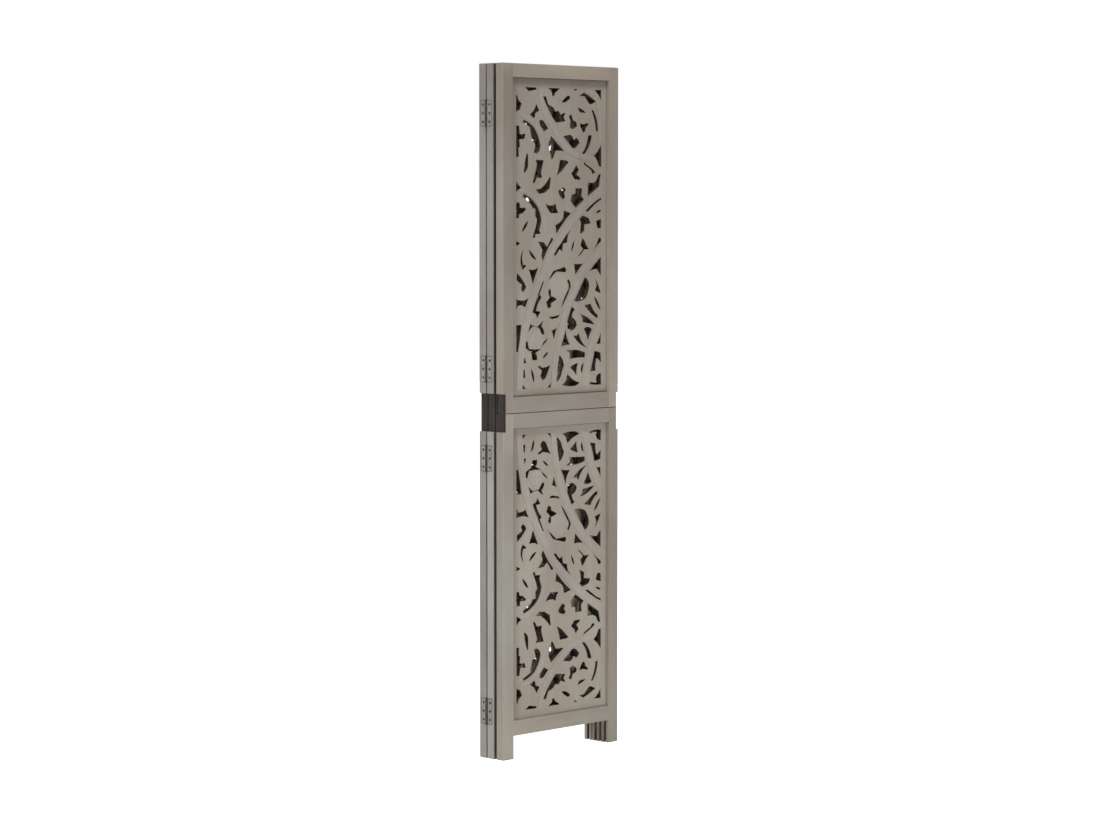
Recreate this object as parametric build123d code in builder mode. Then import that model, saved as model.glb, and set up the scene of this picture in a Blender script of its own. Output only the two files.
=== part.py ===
from build123d import *
import math
import os

# Carved folding screen of three hinged panels, modelled folded up.
# X runs along the panels to the right, Y from the front panel to the rear one, Z up. The origin lies on the
# floor, in the middle of the folded stack. Millimetres.

os.makedirs("parts", exist_ok=True)

# ---------------------------------------------------------------- sizes
screen_height = 1701.8
panel_width = 406.4
panel_thickness = 25.4
front_gap = 7.0
rear_gap = 1.0

split_height = 851.0
split_gap = 0.8
foot_height = 58.0

stile_width = 34.5
crest_rail_height = 33.3
upper_sill_height = 39.0
lower_head_height = 36.5
lower_sill_height = 37.0
edge_easing = 3.0
crest_rounding = 2.5
foot_rounding = 2.8

board_thickness = 9.0
groove_depth = 9.0
board_clearance = 0.1
relief_height = 0.7
groove_end_margin = 12.0
tenon_clearance = 0.2

# plain borders of a carved board, between its frame and the field of fretwork
left_border = 17.5
right_border = 18.9
upper_border_by_split = 17.6
upper_border_far = 23.5
lower_border_by_split = 17.1
lower_border_far = 21.0
# size at which the fretwork is drawn; it is stretched to fit the field
drawn_width = 301.0
drawn_height = 737.0

# butt hinges
hinge_height = 64.0
hinge_leaf_reach = 19.0
leaf_thickness = 1.5
knuckle_radius = 3.0
pin_radius = 1.5
pin_head_radius = 2.4
pin_head_height = 1.2
pin_clearance = 0.1
knuckle_gap = 0.3
relief_clearance = 0.35
mortise_clearance = 0.4
axis_stand_off = 1.5
knuckle_count = 5
top_hinge_drop = 121.0
upper_mid_hinge_rise = 108.0
lower_mid_hinge_drop = 111.0
bottom_hinge_rise = 117.0
hinge_screw_spacing = 21.0

# joining plates let into both edges of every panel, across the split
left_plate_reach_up = 48.0
right_plate_reach_up = 37.0
plate_length = 93.0
plate_width = 22.0
plate_thickness = 2.5
plate_notch_depth = 8.5
plate_notch_clearance = 0.3
plate_corner_radius = 1.5
plate_end_screw_inset = 10.0
plate_screw_spacing_up = 16.0
plate_screw_spacing_down = 22.0

# wood screws
screw_head_radius = 3.2
screw_head_height = 1.5
screw_shank_radius = 1.5
screw_length = 16.0
screw_clearance = 0.1
screw_point_length = 3.0
screw_slot_length = 4.5
screw_slot_width = 0.8
screw_slot_depth = 0.6

# ---------------------------------------------------------------- places that follow from the sizes
half_width = panel_width / 2
rail_length = panel_width - 2 * stile_width
middle_y = (front_gap - rear_gap) / 2
front_y = middle_y - panel_thickness - front_gap
rear_y = middle_y + panel_thickness + rear_gap
front_hinge_y = (front_y + middle_y) / 2
rear_hinge_y = (middle_y + rear_y) / 2
upper_bottom = split_height + split_gap / 2
lower_top = split_height - split_gap / 2
groove_width = board_thickness + 2 * board_clearance
tenon_thickness = groove_width - tenon_clearance
leaf_start = knuckle_radius + relief_clearance
upper_hinge_heights = [screen_height - top_hinge_drop, split_height + upper_mid_hinge_rise]
lower_hinge_heights = [split_height - lower_mid_hinge_drop, bottom_hinge_rise]
# clear opening of each half frame, where its board shows
upper_opening = upper_bottom + upper_sill_height, screen_height - crest_rail_height
lower_opening = foot_height + lower_sill_height, lower_top - lower_head_height

# ---------------------------------------------------------------- fretwork
# Every opening is a list of corners (u, v) or (u, v, swell). u runs across the field, v away from the
# split. swell is how far the side that starts at this corner bows out, negative when it bows in.
split_motifs = [
    [(21, 1), (36, 1, -2), (23, 14)],
    [(107, 1), (120, 1), (121, 15, -2)],
    [(25, 27), (32, 28), (30, 48), (26, 48)],
    [(62, 15, 2.5), (52, 49, 5)],
    [(84, 30), (92, 20, 1), (104, 26), (120, 57, -2), (91, 51), (82, 56), (74, 54), (90, 43)],
    [(26, 65), (35, 64), (30, 79)],
    [(1, 92), (7, 92), (13, 122), (19, 158), (1, 158)],
    [(141, 13, 3), (159, 34, -1), (167, 52, 4), (151, 80, 1)],
    [(160, 6, 2), (203, 1, 2), (222, 9, -3), (180, 32, 1), (176, 19, -2)],
    [(212, 27, -2), (217, 58, 2), (189, 48, -1)],
    [(230, 31, 5.5), (237, 59, 1.5)],
    [(258, 4), (263, 10, -1.5), (285, 7), (281, 15), (286, 26), (299, 31), (300, 1), (278, 1)],
    [(261, 35), (280, 37, -2), (284, 68, -1), (300, 56), (298, 81, 1), (276, 86, -1)],
    [(188, 69, -1), (241, 71), (242, 83, 1), (212, 91), (174, 92), (188, 84)],
]
first_rosette = [
    [(57, 70), (73, 70), (73, 80), (68, 88), (88, 98, -1), (57, 97), (45, 99), (40, 117),
     (34, 116), (33, 100), (52, 90)],
    [(87, 103, 2.5), (111, 123, 2.5)],
    [(93, 74, 3), (112, 89, 3)],
    [(42, 140), (58, 153), (80, 149), (89, 133), (98, 132, 3), (88, 153), (95, 167),
     (74, 152, -2), (50, 160)],
    [(131, 118), (142, 150, -2), (124, 142, -1)],
]
second_sweep = [
    [(157, 101, -1), (188, 105, -3), (173, 143, -1)],
    [(250, 95, 5), (200, 127), (213, 126), (219, 134, -5)],
    [(253, 113, -1), (267, 141, 5), (238, 143, -1)],
    [(283, 103), (298, 104), (299, 131, -1)],
    [(1, 195), (7, 205, -3), (32, 200), (43, 222, -4), (1, 221)],
    [(180, 145), (195, 139, 2), (213, 152, 4), (196, 172, -3), (206, 191), (195, 200), (179, 165)],
    [(24, 238, 2), (35, 252, 2), (4, 285), (2, 267), (21, 256), (17, 245)],
    [(58, 256), (77, 298, -4), (44, 294, -1)],
    [(73, 172), (85, 189), (70, 191, -3), (88, 222), (86, 229), (77, 229, 1), (57, 188), (69, 183)],
    [(76, 230, 2), (82, 231), (97, 263), (92, 263)],
    [(114, 176), (124, 169), (147, 173), (153, 181), (145, 178, -1)],
    [(111, 196), (122, 199), (122, 208), (142, 218, 2), (121, 226), (121, 240), (116, 246), (111, 236),
     (117, 222), (105, 212)],
    [(112, 263), (140, 287), (172, 284), (176, 290), (170, 298), (130, 288, 1)],
    [(276, 152, 5), (225, 179), (234, 168), (232, 160)],
    [(286, 167), (288, 176, -3), (262, 205), (240, 201, 2)],
    [(298, 187, 4), (275, 223, 4)],
    [(157, 196, 2), (191, 248, 2), (184, 267), (178, 263, -3), (183, 243, 2)],
    [(203, 213, 4), (243, 218, 3), (257, 250, 4), (242, 271)],
    [(299, 230, 2), (277, 269), (284, 252), (278, 237)],
    [(208, 277, -1), (235, 305, -1), (203, 305)],
    [(258, 286, -1), (285, 291, 1), (299, 275), (299, 321, 1)],
]
third_sweep = [
    [(23, 292), (35, 301), (34, 304), (25, 305, -4), (26, 342, 9)],
    [(45, 341, 2), (71, 316, 6)],
    [(93, 313), (112, 345), (130, 366), (124, 371), (108, 348), (96, 359), (76, 361), (92, 340), (88, 327)],
    [(130, 327), (138, 326), (152, 341), (161, 336), (164, 355), (178, 358), (181, 375), (192, 389),
     (174, 375), (157, 356), (145, 346)],
    [(1, 350), (15, 357), (1, 363)],
    [(21, 384, 4), (42, 412, 4)],
    [(58, 371), (66, 370), (67, 379), (85, 380), (81, 388), (88, 412, 5), (62, 459, 2), (26, 478),
     (23, 471), (53, 451), (57, 443), (67, 441), (67, 421), (73, 418, -2), (62, 383)],
    [(1, 418), (10, 419), (12, 428), (23, 430), (35, 440), (30, 444), (14, 444), (13, 456), (1, 457)],
    [(141, 379, -2), (192, 430), (167, 437), (164, 418, -3), (137, 402)],
    [(120, 430), (148, 431, -2), (138, 454, -5), (104, 454), (106, 446)],
    [(193, 334, 3), (204, 364, 3)],
    [(215, 321, 2), (239, 340), (257, 341, -2), (242, 360), (233, 369), (226, 351), (235, 341)],
    [(271, 338), (282, 347), (300, 360), (299, 368), (291, 369), (284, 353)],
    [(224, 380), (230, 380), (240, 387), (239, 402), (262, 405), (255, 418), (234, 425), (221, 415),
     (228, 408)],
    [(288, 392), (299, 393), (300, 416), (282, 411), (284, 400)],
    [(281, 431, 3), (300, 438, 3)],
    [(243, 435), (254, 435), (281, 455), (300, 464), (300, 469), (284, 462), (262, 449)],
]
fourth_sweep = [
    [(1, 482), (18, 493), (7, 501), (1, 509)],
    [(68, 489), (80, 478), (99, 480), (117, 491), (121, 519), (117, 519, -2.5), (84, 490)],
    [(58, 505), (65, 504), (72, 517), (90, 517), (87, 530), (96, 560), (68, 561), (73, 551), (63, 519)],
    [(27, 528, 3), (42, 545), (42, 574), (38, 577, 2)],
    [(1, 566), (10, 568), (9, 589), (14, 591), (12, 610), (29, 611), (33, 624), (14, 622), (11, 643),
     (1, 643)],
    [(62, 578), (72, 576), (80, 581), (85, 592, 4), (62, 640, 2), (26, 658), (23, 652), (48, 640),
     (56, 606), (65, 602), (67, 595)],
    [(124, 561), (130, 567), (138, 584), (167, 584), (122, 620), (112, 600), (115, 586)],
    [(163, 464), (171, 469), (168, 479), (174, 489), (165, 494), (147, 486, 3)],
    [(209, 443), (238, 464), (229, 474), (231, 492), (208, 492), (207, 478), (195, 477), (190, 461)],
    [(252, 472), (292, 497), (298, 527), (292, 528), (281, 510), (272, 506), (252, 506)],
    [(205, 514), (223, 513), (225, 518), (212, 526), (220, 538), (210, 550), (203, 538), (193, 528)],
    [(142, 523), (160, 534), (183, 556), (178, 560), (153, 562, -1)],
    [(236, 559), (240, 550), (264, 537), (268, 528), (279, 531), (270, 540), (246, 552)],
    [(292, 547), (300, 546), (300, 600), (285, 582), (273, 573), (283, 565)],
]
crown = [
    [(97, 630), (112, 638), (96, 656, 2), (82, 657), (82, 647)],
    [(48, 671), (60, 663), (66, 664), (67, 674), (81, 681), (71, 697), (62, 681)],
    [(1, 676), (14, 682), (20, 697), (8, 707), (4, 717), (1, 717)],
    [(138, 653, 1), (172, 657), (166, 667), (173, 678), (155, 673), (149, 682), (138, 680), (129, 690),
     (112, 697), (104, 716), (94, 716, 3)],
    [(196, 592, 2), (211, 593), (222, 604, 2), (211, 617), (202, 611), (197, 620), (188, 624), (164, 620)],
    [(231, 577), (240, 577, 5), (266, 624), (253, 623, -4)],
    [(188, 642), (198, 637), (212, 644, 2), (210, 656), (199, 660), (193, 675), (184, 669), (190, 659)],
    [(235, 629), (242, 633), (245, 643), (255, 650), (250, 654), (236, 650), (224, 653), (225, 645)],
    [(281, 634), (288, 634, 5), (270, 687), (265, 685, -3)],
    [(217, 692, 3), (228, 679), (246, 679, 1)],
    [(158, 703), (172, 703), (188, 712), (188, 719), (180, 720), (166, 710)],
    [(257, 701), (266, 701), (281, 708), (257, 721), (237, 729), (223, 721), (241, 719), (244, 715)],
    [(299, 711), (300, 737), (276, 736, -2)],
    [(32, 737), (44, 727), (53, 729), (71, 732), (70, 737)],
    [(112, 737), (124, 728), (126, 718), (133, 718), (136, 725), (153, 737)],
    [(202, 737), (206, 732), (216, 737)],
]
openings = split_motifs + first_rosette + second_sweep + third_sweep + fourth_sweep + crown

# Raised work on both faces of a board: ribbons as (width, points of the middle line) and lobed flowers as
# (u, v, radius, lobes). A ribbon that runs off the field is trimmed at its border.
ribbons = [
    (20, [(12, -4), (13, 20), (15, 60), (20, 100), (28, 140), (43, 185), (60, 225), (78, 258), (97, 290),
          (120, 325), (147, 362), (175, 392), (205, 420), (240, 448), (270, 468), (312, 496)]),
    (18, [(131, -4), (132, 20), (134, 50), (149, 118), (166, 172), (181, 203), (204, 240), (226, 275),
          (262, 313), (312, 349)]),
    (18, [(238, -4), (243, 20), (249, 45), (258, 85), (268, 110), (283, 136), (310, 175)]),
    (14, [(85, 742), (88, 705), (97, 680), (111, 660), (130, 638), (148, 617), (165, 600), (188, 584),
          (215, 574), (245, 568), (275, 566)]),
    (10, [(14, 668), (30, 666), (45, 660), (68, 645), (84, 624), (93, 600), (95, 575)]),
    (10, [(14, 486), (34, 484), (54, 474), (74, 458), (88, 438), (96, 415), (98, 385)]),
    (9, [(240, 732), (262, 729), (280, 714), (290, 690), (294, 650), (294, 605)]),
]
flowers = [(72, 120, 20, 10), (142, 250, 28, 12)]


def swell_side(corners):
    """Says on which side of travel the sides bow out: right for an anticlockwise outline."""
    twice_area = 0.0
    for start, end in zip(corners, corners[1:] + corners[:1]):
        twice_area += start[0] * end[1] - end[0] * start[1]
    return -1 if twice_area > 1e-6 else 1


def field_point(u, v, upper, turned):
    """Turns a place in the drawn fretwork into panel X and Z."""
    field_left = -rail_length / 2 + left_border
    field_right = rail_length / 2 - right_border
    if upper:
        field_start = upper_opening[0] + upper_border_by_split
        field_end = upper_opening[1] - upper_border_far
    else:
        field_start = lower_opening[1] - lower_border_by_split
        field_end = lower_opening[0] + lower_border_far
    x = field_left + u / drawn_width * (field_right - field_left)
    z = field_start + v / drawn_height * (field_end - field_start)
    return (-x if turned else x), z


# ---------------------------------------------------------------- screw and pin
with BuildPart() as screw:
    # countersunk wood screw along Z, its head flush with Z 0
    with BuildSketch(Plane.XZ):
        with BuildLine():
            Polyline((0, 0), (screw_head_radius, 0), (screw_shank_radius, -screw_head_height),
                     (screw_shank_radius, -screw_length + screw_point_length), (0, -screw_length),
                     close=True)
        make_face()
    revolve(axis=Axis.Z)
    with BuildSketch(Plane.XY):
        Rectangle(screw_slot_length, screw_slot_width)
        Rectangle(screw_slot_width, screw_slot_length)
    extrude(amount=-screw_slot_depth, mode=Mode.SUBTRACT)

with BuildPart() as screw_room:
    # the countersink and bore that take a screw, with its clearance all round
    room_head_radius = screw_head_radius + screw_clearance
    room_radius = screw_shank_radius + screw_clearance
    with BuildSketch(Plane.XZ):
        with BuildLine():
            Polyline((0, 0), (room_head_radius, 0), (room_radius, -screw_head_height),
                     (room_radius, -screw_length - screw_clearance), (0, -screw_length - screw_clearance),
                     close=True)
        make_face()
    revolve(axis=Axis.Z)

with BuildPart() as pin:
    # hinge pin along Z with a flat head beyond each end knuckle
    pin_half = hinge_height / 2 + knuckle_gap / 2
    with BuildSketch(Plane.XY.offset(-pin_half)):
        Circle(pin_radius)
    extrude(amount=2 * pin_half)
    for end in (-1, 1):
        with BuildSketch(Plane.XY.offset(end * pin_half)):
            Circle(pin_head_radius)
        extrude(amount=end * pin_head_height)


# ---------------------------------------------------------------- wood pieces
def make_stile(upper, side, y, hinge_y):
    """One stile of a half frame. side is -1 left, 1 right; hinge_y is the hinge axis, or None."""
    bottom = upper_bottom if upper else 0.0
    top = screen_height if upper else lower_top
    edge_x = side * half_width
    inner_x = side * (half_width - stile_width)
    groove_top = screen_height - groove_end_margin if upper else lower_top
    with BuildPart() as stile:
        with BuildSketch(Plane((edge_x - side * stile_width / 2, y, bottom))) as section:
            Rectangle(stile_width, panel_thickness)
            outer = section.vertices().group_by(Axis.X)[-1 if side > 0 else 0]
            fillet(outer, radius=edge_easing)
        extrude(amount=top - bottom)
        end_edges = stile.edges().group_by(Axis.Z)[-1 if upper else 0]
        inner_end = end_edges.sort_by(Axis.X)[0 if side > 0 else -1]
        eased = [edge for edge in end_edges if edge != inner_end]
        fillet(eased, radius=crest_rounding if upper else foot_rounding)
        # groove for the board and the rails' tenons, open at the foot
        with BuildSketch(Plane((inner_x, y, bottom))):
            Rectangle(2 * groove_depth, groove_width)
        extrude(amount=groove_top - bottom, mode=Mode.SUBTRACT)
        # notch for the joining plate
        plate_bottom, plate_top = plate_ends(side)
        notch_bottom = max(bottom, plate_bottom - plate_notch_clearance)
        notch_top = min(top, plate_top + plate_notch_clearance)
        with BuildSketch(Plane((edge_x, y, notch_bottom))):
            Rectangle(2 * plate_notch_depth, panel_thickness)
        extrude(amount=notch_top - notch_bottom, mode=Mode.SUBTRACT)
        for height in plate_screw_heights(side):
            if bottom < height < top:
                add(plate_screw_place(side, y, height) * screw_room.part, mode=Mode.SUBTRACT)
        if hinge_y is not None:
            add(make_hinge_seats(upper, side, y, hinge_y), mode=Mode.SUBTRACT)
    return stile.part


def make_hinge_seats(upper, side, y, hinge_y):
    """The room that the hinges of one edge need: mortises, knuckle reliefs and screw bores."""
    edge_x = side * half_width
    inward = 1 if y > hinge_y else -1
    seat_start = leaf_start - mortise_clearance
    seat_end = hinge_leaf_reach + mortise_clearance
    seat_y = hinge_y + inward * (seat_start + seat_end) / 2
    knuckle_room = hinge_height + 2 * (pin_head_height + 2 * knuckle_gap)
    with BuildPart() as seats:
        for centre in upper_hinge_heights if upper else lower_hinge_heights:
            seat_bottom = centre - hinge_height / 2 - mortise_clearance
            with BuildSketch(Plane((edge_x, seat_y, seat_bottom))):
                Rectangle(2 * leaf_thickness, seat_end - seat_start)
            extrude(amount=hinge_height + 2 * mortise_clearance)
            with BuildSketch(Plane((edge_x, hinge_y + inward * seat_start / 2, seat_bottom))):
                Rectangle(2 * leaf_thickness, seat_start + mortise_clearance)
            extrude(amount=hinge_height + 2 * mortise_clearance)
            axis = (edge_x + side * axis_stand_off, hinge_y, centre - knuckle_room / 2)
            with BuildSketch(Plane(axis)):
                Circle(knuckle_radius + relief_clearance)
            extrude(amount=knuckle_room)
            for place in leaf_screw_places(side, y, hinge_y, centre):
                add(place * screw_room.part)
    return seats.part


def leaf_screw_places(side, y, hinge_y, centre):
    """Where a leaf's three screws go, half way along the flat of the leaf and heading into the edge."""
    inward = 1 if y > hinge_y else -1
    row_y = hinge_y + inward * (leaf_start + hinge_leaf_reach) / 2
    heights = [centre - hinge_screw_spacing, centre, centre + hinge_screw_spacing]
    return [Plane((side * half_width, row_y, height), z_dir=(side, 0, 0)) for height in heights]


def plate_ends(side):
    """Heights of the lower and upper end of the joining plates on one side."""
    top = split_height + (left_plate_reach_up if side < 0 else right_plate_reach_up)
    return top - plate_length, top


def plate_screw_heights(side):
    """Heights of a joining plate's four screws, two in each half of the panel."""
    bottom, top = plate_ends(side)
    lowest = bottom + plate_end_screw_inset
    highest = top - plate_end_screw_inset
    return [lowest, lowest + plate_screw_spacing_down, highest - plate_screw_spacing_up, highest]


def plate_screw_place(side, y, height):
    """Where a screw goes on the face of a joining plate."""
    face_x = side * (half_width - plate_notch_depth + plate_thickness)
    return Plane((face_x, y, height), z_dir=(side, 0, 0))


def make_rail(bottom, height, y, groove_on_top, groove_below, eased_top):
    """A rail with a groove toward the board and stub tenons in the stiles' grooves."""
    tenon_bottom = bottom + (groove_depth if groove_below else 0.0)
    tenon_top = bottom + height - (groove_depth if groove_on_top else 0.0)
    if eased_top:
        tenon_top = screen_height - groove_end_margin - tenon_clearance
    with BuildPart() as rail:
        with BuildSketch(Plane((0, y, bottom))):
            Rectangle(rail_length, panel_thickness)
        extrude(amount=height)
        if eased_top:
            crest_edges = rail.edges().filter_by(Axis.X).group_by(Axis.Z)[-1]
            fillet(crest_edges, radius=crest_rounding)
        with BuildSketch(Plane((0, y, tenon_bottom))):
            Rectangle(rail_length + 2 * (groove_depth - tenon_clearance), tenon_thickness)
        extrude(amount=tenon_top - tenon_bottom)
        groove_z = bottom + height - groove_depth if groove_on_top else bottom
        with BuildSketch(Plane((0, y, groove_z))):
            Rectangle(panel_width, groove_width)
        extrude(amount=groove_depth, mode=Mode.SUBTRACT)
    return rail.part


def pierced_faces(upper, turned):
    """The openings of a board as faces."""
    faces = []
    for corners in openings:
        side = swell_side(corners)
        with BuildLine() as outline:
            for start, end in zip(corners, corners[1:] + corners[:1]):
                first = field_point(start[0], start[1], upper, turned)
                last = field_point(end[0], end[1], upper, turned)
                if len(start) < 3:
                    Line(first, last)
                    continue
                run = end[0] - start[0], end[1] - start[1]
                bow = side * start[2] / math.hypot(run[0], run[1])
                u = (start[0] + end[0]) / 2 - run[1] * bow
                v = (start[1] + end[1]) / 2 + run[0] * bow
                ThreePointArc(first, field_point(u, v, upper, turned), last)
        faces.append(make_face(outline.edges(), mode=Mode.PRIVATE))
    return faces


def round_face(u, v, radius, upper, turned):
    """A disc round a place in the drawn fretwork."""
    east = field_point(u + radius, v, upper, turned)
    north = field_point(u, v + radius, upper, turned)
    west = field_point(u - radius, v, upper, turned)
    south = field_point(u, v - radius, upper, turned)
    with BuildLine() as outline:
        ThreePointArc(east, north, west)
        ThreePointArc(west, south, east)
    return make_face(outline.edges(), mode=Mode.PRIVATE)


def raised_faces(upper, turned):
    """The ribbons and flowers of a board as faces."""
    faces = []
    for width, middle_line in ribbons:
        sides = [], []
        for number, (u, v) in enumerate(middle_line):
            before = middle_line[max(number - 1, 0)]
            after = middle_line[min(number + 1, len(middle_line) - 1)]
            run = after[0] - before[0], after[1] - before[1]
            reach = width / 2 / math.hypot(run[0], run[1])
            sides[0].append(field_point(u - run[1] * reach, v + run[0] * reach, upper, turned))
            sides[1].append(field_point(u + run[1] * reach, v - run[0] * reach, upper, turned))
        with BuildLine() as outline:
            Spline(*sides[0])
            Spline(*sides[1])
            Line(sides[0][0], sides[1][0])
            Line(sides[0][-1], sides[1][-1])
        faces.append(make_face(outline.edges(), mode=Mode.PRIVATE))
    for u, v, radius, lobes in flowers:
        faces.append(round_face(u, v, radius, upper, turned))
        lobe_radius = radius * math.sin(math.pi / lobes)
        for number in range(lobes):
            turn = 2 * math.pi * number / lobes
            lobe_u, lobe_v = u + radius * math.cos(turn), v + radius * math.sin(turn)
            faces.append(round_face(lobe_u, lobe_v, lobe_radius, upper, turned))
    return faces


def make_board(upper, y, turned):
    """A carved board: a plain border in the grooves round a field of fretwork with raised ribbons."""
    low, high = upper_opening if upper else lower_opening
    tongue = groove_depth - 2 * tenon_clearance
    centre_z = (low + high) / 2
    board_plane = Plane((0, y, 0), x_dir=(1, 0, 0), z_dir=(0, -1, 0))
    pierced = pierced_faces(upper, turned)
    field_corners = [(0, 0), (drawn_width, 0), (drawn_width, drawn_height), (0, drawn_height)]
    with BuildLine() as field_outline:
        Polyline(*[field_point(u, v, upper, turned) for u, v in field_corners], close=True)
    field = make_face(field_outline.edges(), mode=Mode.PRIVATE)
    with BuildSketch(board_plane) as raised:
        add(raised_faces(upper, turned))
        add(field, mode=Mode.INTERSECT)
        add(pierced, mode=Mode.SUBTRACT)
    with BuildPart() as board:
        with BuildSketch(board_plane):
            with Locations((0, centre_z)):
                Rectangle(rail_length + 2 * tongue, high - low + 2 * tongue)
            add(pierced, mode=Mode.SUBTRACT)
        extrude(amount=board_thickness / 2, both=True)
        for facing in (-1, 1):
            on_face = raised.sketch.moved(Location((0, facing * board_thickness / 2, 0)))
            extrude(on_face, amount=relief_height, dir=(0, facing, 0))
    return board.part


# ---------------------------------------------------------------- metal pieces
def make_leaf(side, y, hinge_y, centre, knuckles):
    """A hinge leaf let flush into a panel edge, with its own knuckles round the pin."""
    edge_x = side * half_width
    inward = 1 if y > hinge_y else -1
    plate_x = edge_x - side * leaf_thickness / 2
    bottom = centre - hinge_height / 2
    pitch_z = hinge_height / knuckle_count
    axis_x = edge_x + side * axis_stand_off
    with BuildPart() as leaf:
        with BuildSketch(Plane((plate_x, hinge_y + inward * (leaf_start + hinge_leaf_reach) / 2, bottom))):
            Rectangle(leaf_thickness, hinge_leaf_reach - leaf_start)
        extrude(amount=hinge_height)
        for number in knuckles:
            knuckle_bottom = bottom + number * pitch_z + knuckle_gap / 2
            with BuildSketch(Plane((plate_x, hinge_y + inward * leaf_start / 2, knuckle_bottom))):
                Rectangle(leaf_thickness, leaf_start + 0.2)
            extrude(amount=pitch_z - knuckle_gap)
            with BuildSketch(Plane((axis_x, hinge_y, knuckle_bottom))):
                Circle(knuckle_radius)
            extrude(amount=pitch_z - knuckle_gap)
        with BuildSketch(Plane((axis_x, hinge_y, bottom))):
            Circle(pin_radius + pin_clearance)
        extrude(amount=hinge_height, mode=Mode.SUBTRACT)
        for place in leaf_screw_places(side, y, hinge_y, centre):
            add(place * screw_room.part, mode=Mode.SUBTRACT)
    return leaf.part


def make_plate(side, y):
    """A dark steel strap over the split, lying on the floor of its notch."""
    floor_x = side * (half_width - plate_notch_depth)
    plate_bottom, plate_top = plate_ends(side)
    with BuildPart() as plate:
        with BuildSketch(Plane((floor_x, y, (plate_bottom + plate_top) / 2), x_dir=(0, 1, 0),
                               z_dir=(side, 0, 0))):
            RectangleRounded(plate_width, plate_length, plate_corner_radius)
        extrude(amount=plate_thickness)
        for height in plate_screw_heights(side):
            add(plate_screw_place(side, y, height) * screw_room.part, mode=Mode.SUBTRACT)
    return plate.part


def save(shape, name):
    shape.label = name
    export_step(shape, "parts/" + name + ".step")


# ---------------------------------------------------------------- the three panels
# name, y, hinge axis on the left edge, hinge axis on the right edge, board turned left to right
panels = [
    ("front", front_y, None, front_hinge_y, False),
    ("middle", middle_y, rear_hinge_y, front_hinge_y, True),
    ("rear", rear_y, rear_hinge_y, None, True),
]
for name, y, left_hinge_y, right_hinge_y, turned in panels:
    for half, upper in (("upper", True), ("lower", False)):
        start = name + "_" + half + "_"
        save(make_stile(upper, -1, y, left_hinge_y), start + "left_stile")
        save(make_stile(upper, 1, y, right_hinge_y), start + "right_stile")
        save(make_board(upper, y, turned), start + "carving")
    crest_bottom = screen_height - crest_rail_height
    head_bottom = lower_top - lower_head_height
    save(make_rail(crest_bottom, crest_rail_height, y, False, True, True), name + "_upper_top_rail")
    save(make_rail(upper_bottom, upper_sill_height, y, True, False, False), name + "_upper_bottom_rail")
    save(make_rail(head_bottom, lower_head_height, y, False, True, False), name + "_lower_top_rail")
    save(make_rail(foot_height, lower_sill_height, y, True, False, False), name + "_lower_bottom_rail")
    save(make_plate(-1, y), name + "_left_joining_plate")
    save(make_plate(1, y), name + "_right_joining_plate")
    # screws of the panel: four in every plate, three in every leaf
    screws = []
    for side, hinge_y in ((-1, left_hinge_y), (1, right_hinge_y)):
        for height in plate_screw_heights(side):
            screws.append(plate_screw_place(side, y, height) * screw.part)
        if hinge_y is None:
            continue
        for centre in upper_hinge_heights + lower_hinge_heights:
            for place in leaf_screw_places(side, y, hinge_y, centre):
                screws.append(place * screw.part)
    save(Compound(children=screws), name + "_screws")

# ---------------------------------------------------------------- the two hinge lines
hinge_lines = [
    ("front", "middle", 1, front_y, middle_y, front_hinge_y),
    ("middle", "rear", -1, middle_y, rear_y, rear_hinge_y),
]
places = ["top", "upper_mid", "lower_mid", "bottom"]
for near, far, side, near_y, far_y, hinge_y in hinge_lines:
    pins = []
    for place, centre in zip(places, upper_hinge_heights + lower_hinge_heights):
        start = near + "_" + far + "_" + place + "_leaf_"
        save(make_leaf(side, near_y, hinge_y, centre, [0, 2, 4]), start + near)
        save(make_leaf(side, far_y, hinge_y, centre, [1, 3]), start + far)
        pins.append(Pos(side * (half_width + axis_stand_off), hinge_y, centre) * pin.part)
    save(Compound(children=pins), near + "_" + far + "_pins")
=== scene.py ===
# %% [markdown]
# # Carved folding screen
# Three hinged panels of pierced, limewashed wood stand folded up like a closed fan. The wood,
# hinges, plates and screws arrive as a finished frame in metres, so nothing is modelled here. This
# notebook sets up the camera, the floor and the light, and then gives every piece its finish.

# %% Load the frame
import bpy
import math
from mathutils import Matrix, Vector


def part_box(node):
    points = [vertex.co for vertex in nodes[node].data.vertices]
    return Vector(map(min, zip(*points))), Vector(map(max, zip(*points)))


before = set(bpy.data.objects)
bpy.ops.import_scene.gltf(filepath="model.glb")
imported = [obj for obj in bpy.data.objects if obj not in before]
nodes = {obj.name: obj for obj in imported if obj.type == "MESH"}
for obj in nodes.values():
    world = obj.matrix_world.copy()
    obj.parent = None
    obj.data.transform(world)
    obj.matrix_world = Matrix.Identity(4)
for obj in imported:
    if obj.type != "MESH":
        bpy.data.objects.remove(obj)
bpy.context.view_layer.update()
bpy.ops.object.select_all(action="DESELECT")

# %% [markdown]
# ## Sizes
# The panel sizes are read from the frame itself, so everything below follows them. The front panel
# is the one with the lowest Y. A stile is the upright board at a panel's edge, a rail the board
# across it.

# %% Panel sizes
front_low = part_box("front_lower_left_stile")[0]
front_face = front_low.y
left_edge = front_low.x
print("front face at y", round(front_face, 4), "left edge at x", round(left_edge, 4))

# %% [markdown]
# ## Camera
# The screen stands corner-on, a little under eye height and far away, with a long lens. The place
# is written from the front panel's lower left corner: how far back along the ground, how far to the
# side, how high. The aim is worked out from the turn and the tilt, and to_track_quat then points
# the camera's -Z along that aim.

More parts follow.
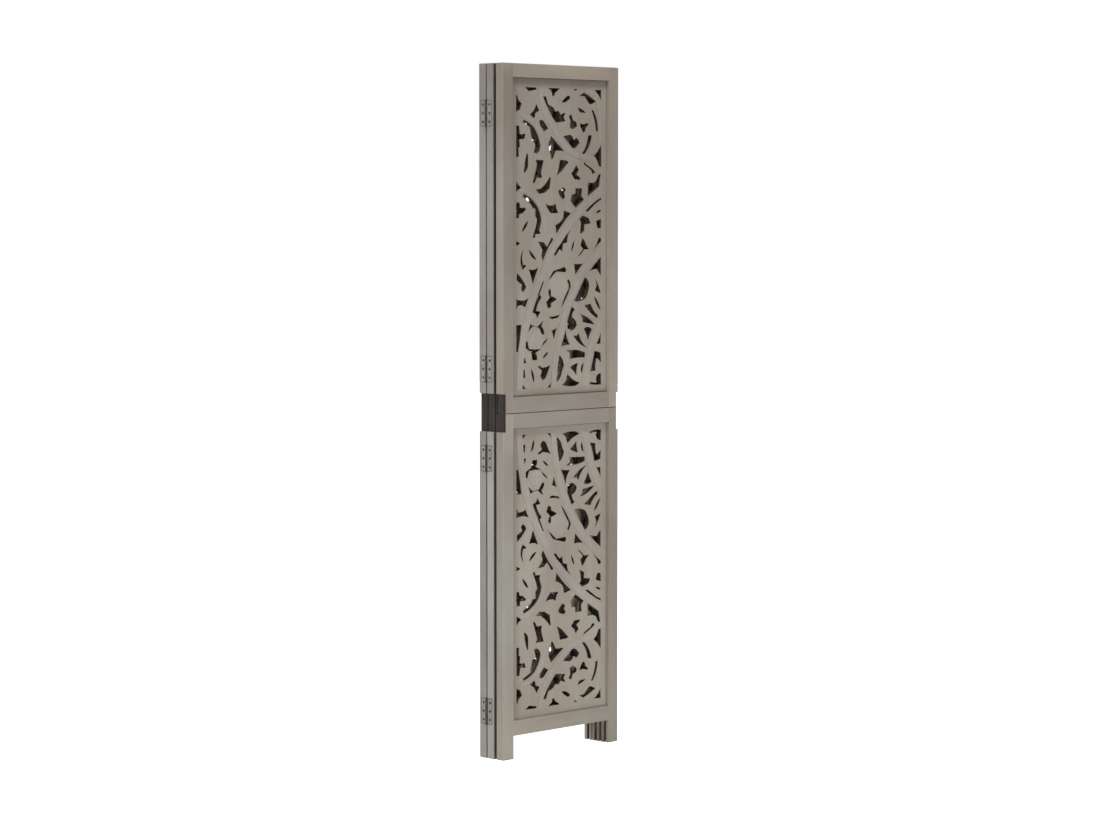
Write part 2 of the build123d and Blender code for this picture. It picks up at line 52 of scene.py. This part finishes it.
# %% Camera
turn = math.radians(45.303)
tilt = math.radians(3.742)
ahead = Vector((math.sin(turn) * math.cos(tilt), math.cos(turn) * math.cos(tilt), -math.sin(tilt)))
to_right = Vector((math.cos(turn), -math.sin(turn), 0))
on_ground = Vector((math.sin(turn), math.cos(turn), 0))
corner = Vector((left_edge, front_face, 0))
back, aside, height = 7.59297, 0.11379, 1.35312
place = corner - back * on_ground + aside * to_right + Vector((0, 0, height))
bpy.ops.object.camera_add(location=place)
camera = bpy.context.object
camera.name = "camera"
camera.rotation_euler = ahead.to_track_quat("-Z", "Y").to_euler()
camera.data.sensor_width = 36
camera.data.lens = 102.486
camera.data.clip_end = 60
bpy.context.scene.camera = camera
bpy.context.scene.view_settings.view_transform = "Standard"
print("camera at", [round(v, 3) for v in camera.location])

# %% [markdown]
# ## Small helpers for shader nodes
# Every finish is a tree of small nodes, and a function for each kind of node keeps the trees
# readable. A sum takes one or two values, a spread maps one range of a value to another, and a mix
# blends two colours.

# %% Helpers for node trees


def new_material(name):
    """A material with an empty tree, its output and its Principled shader."""
    material = bpy.data.materials.new(name)
    material.use_nodes = True
    tree = material.node_tree
    tree.nodes.clear()
    output = tree.nodes.new("ShaderNodeOutputMaterial")
    shader = tree.nodes.new("ShaderNodeBsdfPrincipled")
    tree.links.new(shader.outputs["BSDF"], output.inputs["Surface"])
    return material, tree, shader


def spread(tree, value, low, high, to_low=0.0, to_high=1.0):
    """Maps low..high of a value to another range, clamped."""
    node = tree.nodes.new("ShaderNodeMapRange")
    node.inputs["From Min"].default_value = low
    node.inputs["From Max"].default_value = high
    node.inputs["To Min"].default_value = to_low
    node.inputs["To Max"].default_value = to_high
    tree.links.new(value, node.inputs["Value"])
    return node.outputs["Result"]


def calculate(tree, operation, first, second=None):
    """One step of arithmetic. The second term is a number or another node's output."""
    node = tree.nodes.new("ShaderNodeMath")
    node.operation = operation
    tree.links.new(first, node.inputs[0])
    if isinstance(second, (int, float)):
        node.inputs[1].default_value = second
    elif second is not None:
        tree.links.new(second, node.inputs[1])
    return node.outputs[0]


def how_far(tree, value, target):
    """How far a value lies from a fixed one, on either side."""
    return calculate(tree, "ABSOLUTE", calculate(tree, "SUBTRACT", value, target))


def both(tree, first, second):
    """The product of two shares: 1 only where both are 1."""
    return calculate(tree, "MULTIPLY", first, second)


def mix_colours(tree, share, first, second, blend="MIX"):
    """Mixes two colours, each a fixed colour or a node's output, by a share that is one too."""
    node = tree.nodes.new("ShaderNodeMix")
    node.data_type = "RGBA"
    node.blend_type = blend
    for value, socket in ((share, "Factor"), (first, "A"), (second, "B")):
        if isinstance(value, (int, float, tuple)):
            node.inputs[socket].default_value = value
        else:
            tree.links.new(value, node.inputs[socket])
    return node.outputs["Result"]


def parts_of(tree, vector):
    """The X, Y and Z of a vector."""
    node = tree.nodes.new("ShaderNodeSeparateXYZ")
    tree.links.new(vector, node.inputs["Vector"])
    return node.outputs["X"], node.outputs["Y"], node.outputs["Z"]


print("helpers ready")

# %% [markdown]
# ## Floor
# A large pale sheet lies under the feet. Its colour is pale for light that bounces off it. Where
# the camera, a reflection or a glass looks straight at it, it also glows a little, so that it reads
# as white and still shows the screen's soft shadow. A Light Path node tells the two apart. The glow
# grows with the distance from the screen, so the sheet melts into the white background.

# %% Floor


def looked_at(tree):
    """1 for a ray of the camera, of a reflection or through glass, and 0 for light that bounces."""
    rays = tree.nodes.new("ShaderNodeLightPath").outputs
    either = calculate(tree, "MAXIMUM", rays["Is Camera Ray"], rays["Is Glossy Ray"])
    return calculate(tree, "MAXIMUM", either, rays["Is Transmission Ray"])


glow_near, glow_far = 0.82, 1.0
glow_start, glow_end = 0.5, 1.8
bpy.ops.mesh.primitive_plane_add(size=24, location=(0, 0, 0))
floor = bpy.context.object
floor.name = "floor"
bpy.ops.object.transform_apply(location=True, rotation=True, scale=True)
floor_paint, tree, shader = new_material("pale_floor")
shader.inputs["Base Color"].default_value = (0.84, 0.84, 0.84, 1)
shader.inputs["Roughness"].default_value = 0.9
distance = tree.nodes.new("ShaderNodeVectorMath")
distance.operation = "LENGTH"
tree.links.new(tree.nodes.new("ShaderNodeTexCoord").outputs["Object"], distance.inputs[0])
strength = spread(tree, distance.outputs["Value"], glow_start, glow_end, glow_near, glow_far)
tree.links.new(both(tree, looked_at(tree), strength), shader.inputs["Emission Strength"])
shader.inputs["Emission Color"].default_value = (1, 1, 1, 1)
floor.data.materials.append(floor_paint)
print("floor added, glow", glow_near, "to", glow_far)

# %% [markdown]
# ## Light
# The lamps keep off the camera's own direction, so that little light falls into the narrow gaps
# that it looks into. A lamp high at the left lays a soft shadow under each rail and beside each
# stile, on the sunk boards. Two weak ones in front lift the carved face, the lower one mostly at
# the foot, and one at the left lights the edges of the panels. The sky adds a little from all
# round. It looks pure white to the camera and to reflections, but lights the screen only faintly,
# so the hollows stay dark.

# %% Light


def area_lamp(name, place, aim, size, power):
    """A square soft lamp at a place, pointed at a spot."""
    bpy.ops.object.light_add(type="AREA", location=place)
    lamp = bpy.context.object
    lamp.name = name
    lamp.data.size = size
    lamp.data.energy = power
    lamp.visible_camera = False
    lamp.rotation_euler = (Vector(aim) - Vector(place)).to_track_quat("-Z", "Y").to_euler()
    return lamp


middle = (0, 0, 0.85)
area_lamp("high_lamp", (-1.25, -1.65, 5.6), middle, 1.0, 150)
area_lamp("front_lamp", (0.3, -3.2, 1.3), middle, 1.6, 12)
area_lamp("foot_lamp", (0.0, -1.25, 0.2), (0, 0, 0.2), 0.7, 7.2)
area_lamp("edge_lamp", (-3.8, 1.4, 2.2), middle, 1.6, 96)

world = bpy.data.worlds.new("studio")
bpy.context.scene.world = world
world.use_nodes = True
tree = world.node_tree
tree.nodes.clear()
mix = tree.nodes.new("ShaderNodeMixShader")
tree.links.new(looked_at(tree), mix.inputs["Fac"])
sky_strength, white_strength = 0.2, 1.0
for socket, strength in ((1, sky_strength), (2, white_strength)):
    background = tree.nodes.new("ShaderNodeBackground")
    background.inputs["Color"].default_value = (1, 1, 1, 1)
    background.inputs["Strength"].default_value = strength
    tree.links.new(background.outputs["Background"], mix.inputs[socket])
output = tree.nodes.new("ShaderNodeOutputWorld")
tree.links.new(mix.outputs["Shader"], output.inputs["Surface"])
print("lamps and sky set")

# %% [markdown]
# ## Colours
# The wash is a nearly even grey-brown that turns from warm to cool. Some of the other colours are
# what time and use add to it: rubbed corners, dust and grime. The others are painted light and
# shade: light on the inner walls of the openings, shade in the notches, the gaps, the recesses and
# deep in the cut walls, and a highlight on the sides of the ribbons.

# %% Colours of the wash and the grime


def srgb(red, green, blue):
    """A colour as it is seen, 0 to 255, turned into the linear values that shaders take."""
    linear = []
    for value in (red, green, blue):
        share = value / 255
        linear.append(share / 12.92 if share <= 0.04045 else ((share + 0.055) / 1.055) ** 2.4)
    return (*linear, 1)


wash_warm = srgb(160, 148, 135)
wash_cool = srgb(152, 149, 138)
ribbon_wash = srgb(160, 153, 143)
# Painted highlight on the sides of the raised ribbons.
ribbon_side_highlight = srgb(180, 173, 160)
rubbed_wash = srgb(172, 163, 151)
# Painted light on the inner walls of an opening in the frame.
wall_light_wash = srgb(214, 206, 194)
dusty_wash = srgb(155, 152, 148)
# Painted shade on the carved ground beside the left stile, under the rail and over the sill.
border_shade_wash = srgb(112, 103, 94)
# Painted shade on the floor of a notch behind a joining plate.
notch_shade_colour = srgb(58, 50, 46)
seam_colour = srgb(56, 47, 40)
# Painted shade in the gaps between the panels and round the recesses, and grime round the hinge
# leaves.
shade_and_grime_colour = srgb(62, 54, 48)
knuckle_grime = srgb(44, 39, 33)
cut_near = srgb(96, 80, 66)
# The cut walls darken toward the middle of the board, as painted shade.
cut_deep_shade = srgb(42, 32, 25)
print("wash", [round(v, 3) for v in wash_warm[:3]])

# %% [markdown]
# ## Places on the frame
# The marks of wear and the painted light and shade lie at places that the frame's own boxes give:
# the floor of a notch behind a joining plate, the inner walls of an opening, the split between the
# upper and lower half, the crest, and the two gaps between the folded panels, each by its middle
# and half its width.

# %% Places read from the frame
skin = 0.0004
notch_x = -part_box("front_left_joining_plate")[1].x
opening_x = -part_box("front_lower_left_stile")[1].x
split_z = (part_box("front_upper_left_stile")[0].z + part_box("front_lower_left_stile")[1].z) / 2
crest_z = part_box("front_upper_left_stile")[1].z
gaps = []
for near, far in (("front", "middle"), ("middle", "rear")):
    near_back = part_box(near + "_upper_left_stile")[1].y
    far_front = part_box(far + "_upper_left_stile")[0].y
    gaps.append(((near_back + far_front) / 2, (far_front - near_back) / 2))
print("notch floors at x", round(notch_x, 4), "gaps", [[round(v, 4) for v in gap] for gap in gaps])

# %% [markdown]
# ## Marks on the frame boards
# On a rounded corner the normal lies between two axes, which the largest of its three parts shows,
# and there the wash is rubbed. The panels behind have dust on their sides. The split is dark, the
# floor of a notch carries painted shade, and the inner walls of an opening carry painted light.
# Painted shade lies in the gaps between the panels: on the corners that face each other, and on a
# narrow strip of the faces just inside.

# %% Marks on a stile or rail
square_on = 0.9
corner_start, corner_full = 0.98, 0.80
dust_share, wall_light_share, gap_shade_share = 0.6, 0.7, 0.8
seam_half = 0.001
strip_start, strip_full = 0.014, 0.006
arris_start, arris_full = 0.0021, 0.0007


def mark_frame(tree, colour, point, facing, blots):
    """Adds rubbed corners, dust, painted shade on notch floors, painted light on opening walls, the
    split and painted shade in the gaps.
    """
    x, y, z = point
    side_x = calculate(tree, "ABSOLUTE", x)
    larger = calculate(tree, "MAXIMUM", facing[0], facing[1])
    largest = calculate(tree, "MAXIMUM", larger, facing[2])
    rubbed = both(tree, spread(tree, largest, corner_start, corner_full),
                  spread(tree, blots, 0.38, 0.62, 0.1, 0.8))
    colour = mix_colours(tree, rubbed, colour, rubbed_wash)
    sideways = calculate(tree, "GREATER_THAN", facing[0], square_on)
    for gap_y, half_gap in gaps:
        behind = both(tree, calculate(tree, "GREATER_THAN", y, gap_y), sideways)
        dust = calculate(tree, "MULTIPLY", behind, dust_share)
        colour = mix_colours(tree, dust, colour, dusty_wash)
    # Painted shade on the floor of a notch.
    in_notch = calculate(tree, "LESS_THAN", how_far(tree, side_x, notch_x), skin)
    colour = mix_colours(tree, both(tree, in_notch, sideways), colour, notch_shade_colour)
    # Painted light on the inner walls of an opening.
    in_opening = calculate(tree, "LESS_THAN", how_far(tree, side_x, opening_x), skin)
    painted_wall_light = calculate(tree, "MULTIPLY", both(tree, in_opening, sideways), wall_light_share)
    colour = mix_colours(tree, painted_wall_light, colour, wall_light_wash)
    at_split = calculate(tree, "LESS_THAN", how_far(tree, z, split_z), seam_half)
    colour = mix_colours(tree, at_split, colour, seam_colour)
    # Painted shade in the gaps between the panels: a strip of the faces just inside, and the corners
    # that face each other.
    edge_x = -left_edge
    strip = spread(tree, side_x, edge_x - strip_start, edge_x - strip_full, 0.0, gap_shade_share)
    for gap_y, half_gap in gaps:
        from_gap = how_far(tree, y, gap_y)
        inside = calculate(tree, "LESS_THAN", from_gap, half_gap + skin)
        colour = mix_colours(tree, both(tree, inside, strip), colour, shade_and_grime_colour)
        near_gap = spread(tree, from_gap, half_gap + arris_start, half_gap + arris_full)
        on_corner = both(tree, near_gap, spread(tree, facing[0], 0.1, 0.4))
        gap_corner_shade = both(tree, on_corner, spread(tree, blots, 0.35, 0.65, 0.6, 1.0))
        colour = mix_colours(tree, gap_corner_shade, colour, shade_and_grime_colour)
    return colour


print("frame marks ready")

# %% [markdown]
# ## Light and dark along the frame
# Painted light and shade run along the frame. It is a little lighter just above the split. A
# board's sides darken toward the crest and under the notch. Some left stiles are lighter at their
# ends, and the bottom rail is lighter at its left end than at its right. Each of these is a spread
# of the height or the width, multiplied in.

# %% Painted light and shade along a stile or rail
above_height, above_low, above_high = 0.35, 1.08, 0.98
crest_start, crest_full, crest_dark = 0.36, 0.10, 0.20
notch_start, notch_full, notch_dark = 0.16, 0.06, 0.12
crest_end = 0.036
split_end_start, split_end_full = 0.11, 0.05
foot_start, foot_full = 0.20, 0.08


def painted_light_at_ends(tree, z, facing, below, end_lift):
    """How much painted light lifts a stile at its crest, just under the split and at its foot."""
    at_split = spread(tree, z, split_z - split_end_start, split_z - split_end_full)
    at_crest = spread(tree, z, crest_z - crest_end, crest_z)
    at_top = calculate(tree, "MAXIMUM", at_crest, both(tree, at_split, below))
    at_top = both(tree, at_top, spread(tree, facing[1], 0.4, 0.8))
    at_end = calculate(tree, "MAXIMUM", at_top, spread(tree, z, foot_start, foot_full))
    return calculate(tree, "ADD", calculate(tree, "MULTIPLY", at_end, end_lift), 1.0)


def painted_light_along_frame(tree, point, facing, end_lift, slope):
    """The painted light and shade on a frame board at a point, as a factor around 1."""
    x, y, z = point
    above = calculate(tree, "GREATER_THAN", z, split_z)
    below = calculate(tree, "LESS_THAN", z, split_z)
    sideways = calculate(tree, "GREATER_THAN", facing[0], square_on)
    rise = spread(tree, z, split_z, split_z + above_height, above_low, above_high)
    lift = both(tree, calculate(tree, "SUBTRACT", rise, 1.0), above)
    lift = calculate(tree, "ADD", lift, 1.0)
    near_crest = spread(tree, z, crest_z - crest_start, crest_z - crest_full, 0.0, crest_dark)
    under_notch = spread(tree, z, split_z - notch_start, split_z - notch_full, 0.0, notch_dark)
    dark = calculate(tree, "ADD", near_crest, both(tree, under_notch, below))
    lift = calculate(tree, "SUBTRACT", lift, both(tree, dark, sideways))
    if end_lift:
        lift = both(tree, lift, painted_light_at_ends(tree, z, facing, below, end_lift))
    if slope:
        lift = both(tree, lift, spread(tree, x, -opening_x, opening_x, 1.0 + slope, 1.0 - slope))
    return lift


print("fading ready")

# %% [markdown]
# ## Marks on the carved boards
# A carved board tells its ground, its raised ribbons and its cut walls apart by the normal and by
# how far a point lies from the middle of the board. Painted shade darkens the ground toward the left
# stile, under the rail and over the sill, and a thin broken line of painted shade runs round the
# corner of the recess. The sides of the ribbons carry a painted highlight. The cut walls get darker
# with depth, as painted shade.

# %% Marks on a carving
half_board = 0.0045
ribbon_step = 0.0002
left_shade_width, left_shade = 0.034, 0.8
rail_shade_width, sill_shade_width = 0.026, 0.024
line_full, line_end, line_share = 0.0012, 0.0030, 0.65


def shade_border(tree, colour, point, patches, box, rail_shadow, sill_shadow):
    """Paints shade on a carved board's ground near the frame, with a broken line of painted shade
    round it.
    """
    x, y, z = point
    low, high = box
    tongue = high.x - opening_x
    from_left = calculate(tree, "ADD", x, opening_x)
    under_rail = calculate(tree, "MULTIPLY", calculate(tree, "SUBTRACT", z, high.z - tongue), -1.0)
    over_sill = calculate(tree, "SUBTRACT", z, low.z + tongue)
    side_x = calculate(tree, "ABSOLUTE", x)
    by_stile = calculate(tree, "MULTIPLY", calculate(tree, "SUBTRACT", side_x, opening_x), -1.0)
    # Painted shade beside the left stile, under the rail and over the sill.
    at_left = spread(tree, from_left, 0.0, left_shade_width, left_shade, 0.0)
    at_rail = spread(tree, under_rail, 0.0, rail_shade_width, rail_shadow, 0.0)
    at_sill = spread(tree, over_sill, 0.0, sill_shade_width, sill_shadow, 0.0)
    border = calculate(tree, "MAXIMUM", calculate(tree, "MAXIMUM", at_left, at_rail), at_sill)
    colour = mix_colours(tree, border, colour, border_shade_wash)
    to_corner = calculate(tree, "MINIMUM", under_rail, over_sill)
    to_corner = calculate(tree, "MINIMUM", to_corner, by_stile)
    # A thin broken line of painted shade along the corner of the recess.
    line = spread(tree, to_corner, line_full, line_end, line_share, 0.0)
    line = both(tree, line, spread(tree, patches, 0.4, 0.6, 0.3, 1.0))
    return mix_colours(tree, line, colour, shade_and_grime_colour)


def mark_carving(tree, colour, point, facing, patches, box, rail_shadow, sill_shadow):
    """Adds the border's painted shade, the ribbons with a painted highlight on their sides, and the
    cut walls with painted shade deeper in, to a carved board.
    """
    colour = shade_border(tree, colour, point, patches, box, rail_shadow, sill_shadow)
    low, high = box
    from_middle = how_far(tree, point[1], (low.y + high.y) / 2)
    on_ribbon = calculate(tree, "GREATER_THAN", from_middle, half_board + ribbon_step)
    colour = mix_colours(tree, on_ribbon, colour, ribbon_wash)
    # Painted shade: the cut walls darken toward the middle of the board.
    walls = mix_colours(tree, spread(tree, from_middle, 0.0, half_board), cut_deep_shade, cut_near)
    # The sides of the ribbons carry a painted highlight.
    walls = mix_colours(tree, on_ribbon, walls, ribbon_side_highlight)
    return mix_colours(tree, calculate(tree, "GREATER_THAN", facing[1], 0.5), walls, colour)


print("carving marks ready")

# %% [markdown]
# ## The wood finish
# Broad soft patches turn the wash from warm to cool, faint streaks run along each board, and small
# blots break up the rest. Stiles and carvings are brushed upwards and rails sideways. All of it
# reads the piece's own coordinates and its own normal, so it stays put when a panel turns on its
# hinges.

# %% Limewash
patch_scales, streak_scales, blot_scales = (3, 7), (2.5, 60), (38, 38)


def stretched_noise(tree, place, scale, detail, roughness=0.5):
    """A noise of Object coordinates, stretched by a scale for each axis."""
    stretch = tree.nodes.new("ShaderNodeMapping")
    stretch.inputs["Scale"].default_value = scale
    tree.links.new(place, stretch.inputs["Vector"])
    noise = tree.nodes.new("ShaderNodeTexNoise")
    noise.inputs["Scale"].default_value = 1.0
    noise.inputs["Detail"].default_value = detail
    noise.inputs["Roughness"].default_value = roughness
    tree.links.new(stretch.outputs["Vector"], noise.inputs["Vector"])
    return noise.outputs["Fac"]


def brushed_noise(tree, place, along, scales, detail, roughness):
    """A noise with one scale along 'x' or 'z' and another across it."""
    lengthwise, crosswise = scales
    if along == "x":
        scale = (lengthwise, crosswise, crosswise)
    else:
        scale = (crosswise, crosswise, lengthwise)
    return stretched_noise(tree, place, scale, detail, roughness)


def add_relief(tree, shader, height, strength, distance):
    """Bumps a shader's surface by a height."""
    relief = tree.nodes.new("ShaderNodeBump")
    relief.inputs["Strength"].default_value = strength
    relief.inputs["Distance"].default_value = distance
    tree.links.new(height, relief.inputs["Height"])
    tree.links.new(relief.outputs["Normal"], shader.inputs["Normal"])


def limewash(name, along, tone, coolness, carving=None, end_lift=0.0, slope=0.0):
    """Wash brushed along 'x' or 'z'. A carving gives its box and how strong the painted shade under
    its rail and over its sill is.
    """
    material, tree, shader = new_material(name)
    where = tree.nodes.new("ShaderNodeTexCoord")
    place = where.outputs["Object"]
    patches = brushed_noise(tree, place, along, patch_scales, 3.0, 0.55)
    streaks = brushed_noise(tree, place, along, streak_scales, 5.0, 0.6)
    blots = brushed_noise(tree, place, along, blot_scales, 5.0, 0.6)
    point = parts_of(tree, place)
    facing = [calculate(tree, "ABSOLUTE", part) for part in parts_of(tree, where.outputs["Normal"])]
    cool_share = spread(tree, patches, 0.35 - coolness, 0.65 - coolness)
    colour = mix_colours(tree, cool_share, wash_warm, wash_cool)
    shade = both(tree, spread(tree, streaks, 0.3, 0.7, 0.955, 1.045),
                 spread(tree, blots, 0.3, 0.7, 0.965, 1.035))
    shade = both(tree, shade, spread(tree, patches, 0.36, 0.64, 0.88 * tone, 1.12 * tone))
    if carving:
        colour = mark_carving(tree, colour, point, facing, patches, *carving)
    else:
        colour = mark_frame(tree, colour, point, facing, blots)
        shade = both(tree, shade, painted_light_along_frame(tree, point, facing, end_lift, slope))
    grey = tree.nodes.new("ShaderNodeCombineColor")
    for channel in ("Red", "Green", "Blue"):
        tree.links.new(shade, grey.inputs[channel])
    colour = mix_colours(tree, 1.0, colour, grey.outputs["Color"], "MULTIPLY")
    tree.links.new(colour, shader.inputs["Base Color"])
    tree.links.new(spread(tree, blots, 0.3, 0.7, 0.6, 0.78), shader.inputs["Roughness"])
    add_relief(tree, shader, calculate(tree, "ADD", streaks, blots), 0.25, 0.0004)
    return material


print("limewash ready")

# %% [markdown]
# ## One finish for each kind of board
# Each kind of board has its own tone, where 1 is the plain wash, and its own coolness, so that
# neighbours differ a little. The tones are partly the wash's own and partly painted light and shade.
# A name with no panel in it serves all three panels. Two stiles of the middle panel and one of the
# rear panel have their own. A carving's painted shade under the rail and over the sill is stronger
# in the upper half than in the lower.

# %% Make the wood finishes
# The tones are partly the wash's own and partly painted light and shade.
tones_and_painted_light = {
    "upper_left_stile": (0.69, -0.12), "upper_right_stile": (0.80, -0.22),
    "upper_top_rail": (0.94, -0.25), "upper_bottom_rail": (0.64, -0.06),
    "lower_left_stile": (0.80, 0.10), "lower_right_stile": (0.64, -0.18),
    "lower_top_rail": (0.72, -0.06), "lower_bottom_rail": (0.77, 0.0),
    "middle_upper_left_stile": (0.65, -0.12), "middle_lower_left_stile": (0.96, 0.06),
    "rear_lower_left_stile": (0.72, 0.10),
}
# Painted light at the ends of some stiles and toward the left end of the bottom rail.
end_lifts = {"upper_left_stile": 0.34, "lower_left_stile": 0.18, "rear_lower_left_stile": 0.15}
slopes = {"lower_bottom_rail": 0.09}
carving_coolness = -0.08
wood = {}
for piece_name, (tone, coolness) in tones_and_painted_light.items():
    along = "z" if piece_name.endswith("stile") else "x"
    wood[piece_name] = limewash(piece_name + "_wash", along, tone, coolness, None,
                                end_lifts.get(piece_name, 0.0), slopes.get(piece_name, 0.0))
# Each half gives how strong the painted shade under its rail and over its sill is.
for half, tone, rail_shadow, sill_shadow in (("upper", 0.85, 0.75, 0.45), ("lower", 0.80, 0.15, 0.1)):
    for panel in ("front", "middle", "rear"):
        name = panel + "_" + half + "_carving"
        carving = (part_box(name), rail_shadow, sill_shadow)
        wood[name] = limewash(name + "_wash", "z", tone, carving_coolness, carving)
print("made", len(wood), "wood finishes")

# %% [markdown]
# ## Metal
# The hinges were painted over with the frame, so they carry nearly the same wash, smoother and
# without grain, with grime round their rims and a darker one on their knuckles. The top ones carry
# painted shade, darker like the boards round them. The joining plates are dark steel with a brushed
# surface. Screws and pins are dark and dull.

# %% Metal finishes
rim_start, rim_full, rim_share = 0.0024, 0.0012, 0.85


def grime_on_leaf(tree, place, colour, leaf_name):
    """Grime round a hinge leaf's rim, and on its knuckles, which stand out beyond the panel."""
    x, y, z = parts_of(tree, place)
    low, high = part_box(leaf_name)
    words = leaf_name.split("_")
    outer_y = low.y if words[0] == words[-1] else high.y
    half_height = (high.z - low.z) / 2
    from_middle = how_far(tree, z, (low.z + high.z) / 2)
    at_end = spread(tree, from_middle, half_height - rim_start, half_height - rim_full)
    at_side = spread(tree, how_far(tree, y, outer_y), rim_start, rim_full)
    at_rim = calculate(tree, "MULTIPLY", calculate(tree, "MAXIMUM", at_end, at_side), rim_share)
    colour = mix_colours(tree, at_rim, colour, shade_and_grime_colour)
    on_knuckle = calculate(tree, "GREATER_THAN", calculate(tree, "ABSOLUTE", x), skin - left_edge)
    return mix_colours(tree, on_knuckle, colour, knuckle_grime)


def dull_metal(name, dark, light, shine, roughness, scale, leaf_name=None):
    """Metal under a thin uneven skin, from a stretched noise between two colours."""
    material, tree, shader = new_material(name)
    place = tree.nodes.new("ShaderNodeTexCoord").outputs["Object"]
    noise = stretched_noise(tree, place, scale, 4.0)
    colour = mix_colours(tree, spread(tree, noise, 0.3, 0.7), dark, light)
    if leaf_name:
        colour = grime_on_leaf(tree, place, colour, leaf_name)
    tree.links.new(colour, shader.inputs["Base Color"])
    shader.inputs["Specular IOR Level"].default_value = shine
    shader.inputs["Roughness"].default_value = roughness
    add_relief(tree, shader, noise, 0.2, 0.0003)
    return material


print("metal helpers ready")

# %% Make the metal finishes
top_hinge_reach = 0.2
leaf_paint = {}
for name in nodes:
    if "_leaf_" in name:
        dark, light = srgb(122, 118, 111), srgb(144, 140, 133)
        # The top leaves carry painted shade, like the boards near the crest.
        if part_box(name)[1].z > crest_z - top_hinge_reach:
            dark, light = srgb(110, 105, 99), srgb(128, 123, 116)
        leaf_paint[name] = dull_metal(name + "_paint", dark, light, 0.5, 0.6, (160, 160, 90), name)
sooty = srgb(60, 54, 50)
plate_steel = dull_metal("plate_steel", srgb(30, 27, 25), sooty, 0.12, 0.6, (260, 260, 14))
screw_paint = dull_metal("screw_paint", srgb(38, 34, 31), sooty, 0.12, 0.5, (300, 300, 300))
pin_steel = dull_metal("pin_steel", srgb(48, 43, 39), srgb(72, 66, 60), 0.3, 0.5, (300, 300, 60))
print("metal finishes made for", len(leaf_paint), "hinge leaves, the plates, screws and pins")

# %% [markdown]
# ## Finishes on the frame
# Each piece's name says what it is, so its finish follows from its name. A board takes the finish
# with its own full name where there is one, and else the one for its kind.

# %% Give each piece its finish
for name, piece in nodes.items():
    without_panel = name.partition("_")[2]
    if name in wood:
        finish = wood[name]
    elif without_panel in wood:
        finish = wood[without_panel]
    elif "_leaf_" in name:
        finish = leaf_paint[name]
    elif name.endswith("joining_plate"):
        finish = plate_steel
    elif name.endswith("screws"):
        finish = screw_paint
    else:
        finish = pin_steel
    for material_slot in piece.material_slots:
        material_slot.material = finish
print("finishes given to", len(nodes), "pieces")

# %% [markdown]
# ## The end

# %% Finish
print("scene ready")
